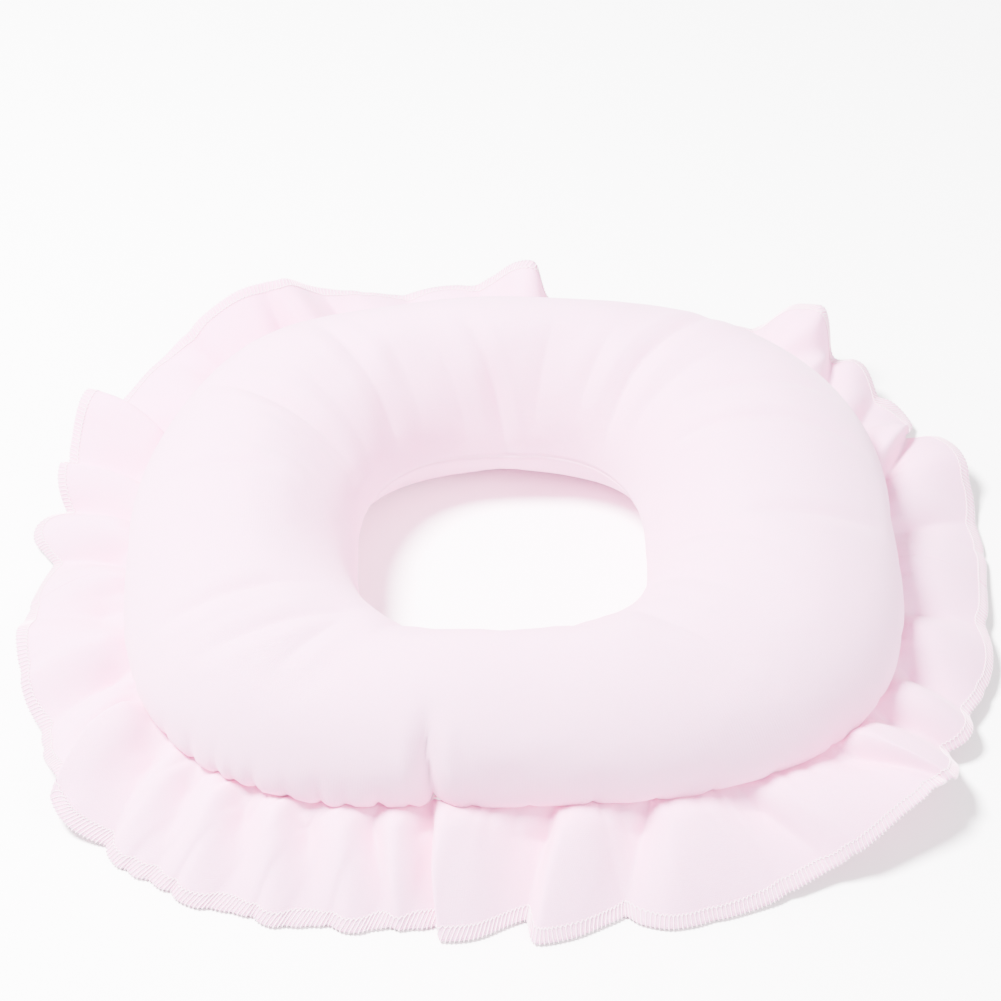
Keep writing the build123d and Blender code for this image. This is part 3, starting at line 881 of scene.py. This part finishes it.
def stitches_along(paths):
    """One mesh of closed stitches, one along each path."""
    ahead = np.gradient(paths, axis=1)
    ahead /= np.linalg.norm(ahead, axis=-1, keepdims=True)
    along = np.gradient(paths, axis=0)
    along /= np.maximum(np.linalg.norm(along, axis=-1, keepdims=True), 1e-9)
    rise = np.cross(ahead, along)
    rise /= np.maximum(np.linalg.norm(rise, axis=-1, keepdims=True), 1e-9)
    side = np.cross(rise, ahead)
    angle = np.arange(STITCH_SIDES) * 2 * math.pi / STITCH_SIDES
    around = (
        paths[:, :, None]
        + THREAD_RADIUS * np.cos(angle)[None, None, :, None] * side[:, :, None]
        + THREAD_RADIUS * np.sin(angle)[None, None, :, None] * rise[:, :, None]
    )
    vertices = (around.reshape(-1, 3) * MM).tolist()
    steps = paths.shape[1]
    faces = []
    for first in range(0, len(vertices), steps * STITCH_SIDES):
        for a in range(steps - 1):
            low, high = first + a * STITCH_SIDES, first + (a + 1) * STITCH_SIDES
            for b in range(STITCH_SIDES):
                c = (b + 1) % STITCH_SIDES
                faces.append((low + b, low + c, high + c, high + b))
        faces.append(tuple(first + b for b in reversed(range(STITCH_SIDES))))
        faces.append(tuple(high + b for b in range(STITCH_SIDES)))
    mesh = bpy.data.meshes.new("slanting_stitches")
    mesh.from_pydata(vertices, [], faces)
    stitches = bpy.data.objects.new("slanting_stitches", mesh)
    bpy.context.collection.objects.link(stitches)
    return stitches


def hem_stitches(grid):
    """The overlock's slanting stitches over the hem, and the chains along their inner end."""
    hem_steps = np.linalg.norm(np.diff(grid[:, -1], axis=0), axis=-1)
    hem_length = np.concatenate([[0], np.cumsum(hem_steps)])
    inner = 1 - STITCH_WIDTH / RUFFLE_DEPTH
    made = [stitches_along(stitch_paths(grid, hem_length, inner))]
    fine = np.arange(0, hem_length[-1], STITCH_PITCH / 6)
    place = np.interp(fine, hem_length, np.arange(len(hem_length)))
    zigzag = inner - CHAIN_SWING / RUFFLE_DEPTH * np.sin(fine / STITCH_PITCH * 2 * math.pi)
    for way in (1, -1):
        path = cloth_at(grid, np.full(len(fine), way * STITCH_LIFT), place, zigzag)
        made.append(tube("chain", path, THREAD_RADIUS, STITCH_SIDES))
    return made


overlock = joined("hem_overlock_stitches", [o for s in strips.values() for o in hem_stitches(s)])
finished(overlock, SEWING_THREAD, "sewing_thread", "hem_overlock")

# ---- Making the threads inside the seams -------------------------------------------------

SEAM_THREAD_RADIUS = 0.25


def beside(line_turns, line, inset, lift):
    """A line moved inside its seam by an inset, and up by a lift."""
    _, _, way, _ = stations(line_turns)
    return line + np.column_stack([way * inset, np.full(len(line), lift)])


for thread_node, line, inset, lift in (
    ("outer_seam_needle_thread", seam_line, -2.6, 1.8),
    ("outer_seam_bobbin_thread", seam_line, -2.6, -1.8),
    ("gathering_thread", seam_line, -6.0, 0.58),
    ("hole_seam_needle_thread", ring[:, 0], 2.6, 1.05),
    ("hole_seam_bobbin_thread", ring[:, 0], 2.6, -1.05),
):
    path = beside(turns, line, inset, lift)
    thread = tube(thread_node + "_line", path, SEAM_THREAD_RADIUS, 6, closed=True)
    finished(thread, SEWING_THREAD, "sewing_thread", thread_node)


def ring_at(rows, columns):
    """Points of the ring between its grid points, where a column may be below 0."""
    i, j = np.floor(rows).astype(int), np.floor(columns).astype(int)
    t, u = (rows - i)[:, None], (columns - j)[:, None]
    n, m = ring.shape[:2]
    low = ring[i % n, j % m] * (1 - t) + ring[(i + 1) % n, j % m] * t
    high = ring[i % n, (j + 1) % m] * (1 - t) + ring[(i + 1) % n, (j + 1) % m] * t
    return low * (1 - u) + high * u


CLOSED_LENGTH = 96.0  # part of the hole's seam that is closed by hand, after the filling
CLOSING_PITCH = 6.0
CLOSING_SLANT = 2.4
CLOSING_RISE = 2.2  # up or down from the seam to a stitch's end
CLOSING_SINK = 0.9  # a stitch's end, into the cloth
CLOSING_THREAD_RADIUS = 0.3


def closing_stitches():
    """Slanting hand stitches over the hole's seam, at its front."""
    front = int(ring.shape[0] * 0.75)
    hole_steps = np.linalg.norm(np.diff(ring[:, 0], axis=0), axis=-1)
    row_length = hole_steps[front - 20 : front + 20].mean()
    pieces = []
    count = int(CLOSED_LENGTH / CLOSING_PITCH) + 1
    for k in range(count):
        middle = front + (k - (count - 1) / 2) * CLOSING_PITCH / row_length
        t = np.linspace(-1, 1, 7)
        rows = middle + t * CLOSING_SLANT / 2 / row_length
        over = np.linalg.norm(ring[front, 1] - ring[front, 0])
        under = np.linalg.norm(ring[front, -1] - ring[front, 0])
        columns = np.where(t > 0, t * CLOSING_RISE / over, t * CLOSING_RISE / under)
        path = ring_at(rows, columns)
        lift = 0.25 + 0.35 * np.cos(t * math.pi / 2)
        path[:, :2] -= out[front] * lift[:, None]
        path[[0, -1], :2] += out[front] * CLOSING_SINK
        pieces.append(tube("closing_stitch", path, CLOSING_THREAD_RADIUS, 6))
    return joined("closing_stitches_thread", pieces)


finished(closing_stitches(), SEWING_THREAD, "sewing_thread", "closing_stitches")

# ---- Studio ------------------------------------------------------------------------------

bpy.ops.object.select_all(action="DESELECT")
bpy.ops.mesh.primitive_plane_add(size=8, location=(0, 0, -0.0002))
floor = bpy.context.object
floor.name = "studio_floor"
floor.data.materials.append(paper_floor())


def soft_light(name, place, target, size, watts):
    data = bpy.data.lights.new(name, "AREA")
    data.shape = "DISK"
    data.size = size
    data.energy = watts
    light = bpy.data.objects.new(name, data)
    bpy.context.collection.objects.link(light)
    light.location = place
    light.rotation_euler = (Vector(target) - Vector(place)).to_track_quat("-Z", "Y").to_euler()
    return light


soft_light("overhead_softbox", (-0.7, 0.0, 1.6), (0, 0, 0), 0.5, 320)
soft_light("left_softbox", (-1.5, 0.3, 0.7), (0, 0, 0.05), 0.6, 35)
soft_light("right_fill", (1.4, -1.0, 1.1), (0, 0, 0.05), 1.0, 60)

world = bpy.data.worlds.new("studio_air")
world.use_nodes = True
world.node_tree.nodes["Background"].inputs["Color"].default_value = linear("#FFFFFF")
world.node_tree.nodes["Background"].inputs["Strength"].default_value = 1.4
bpy.context.scene.world = world


def camera_at(target, elevation, distance, roll, lens):
    """A camera in front of the cushion, looking down at it, turned about its own axis."""
    e, r = math.radians(elevation), math.radians(roll)
    back = Vector((0, -math.cos(e), math.sin(e)))
    right = Vector((1, 0, 0))
    upward = Vector((0, math.sin(e), math.cos(e)))
    turned_right = right * math.cos(r) + upward * math.sin(r)
    turned_up = upward * math.cos(r) - right * math.sin(r)
    data = bpy.data.cameras.new("view")
    data.lens = lens
    data.sensor_width = 36
    camera = bpy.data.objects.new("view", data)
    bpy.context.collection.objects.link(camera)
    axes = Matrix((turned_right, turned_up, back)).transposed().to_4x4()
    camera.matrix_world = Matrix.Translation(Vector(target) + back * distance) @ axes
    return camera


bpy.context.scene.camera = camera_at(
    target=(-0.005, 0.046, 0.030), elevation=44, distance=1.326, roll=-1.5, lens=93.5
)
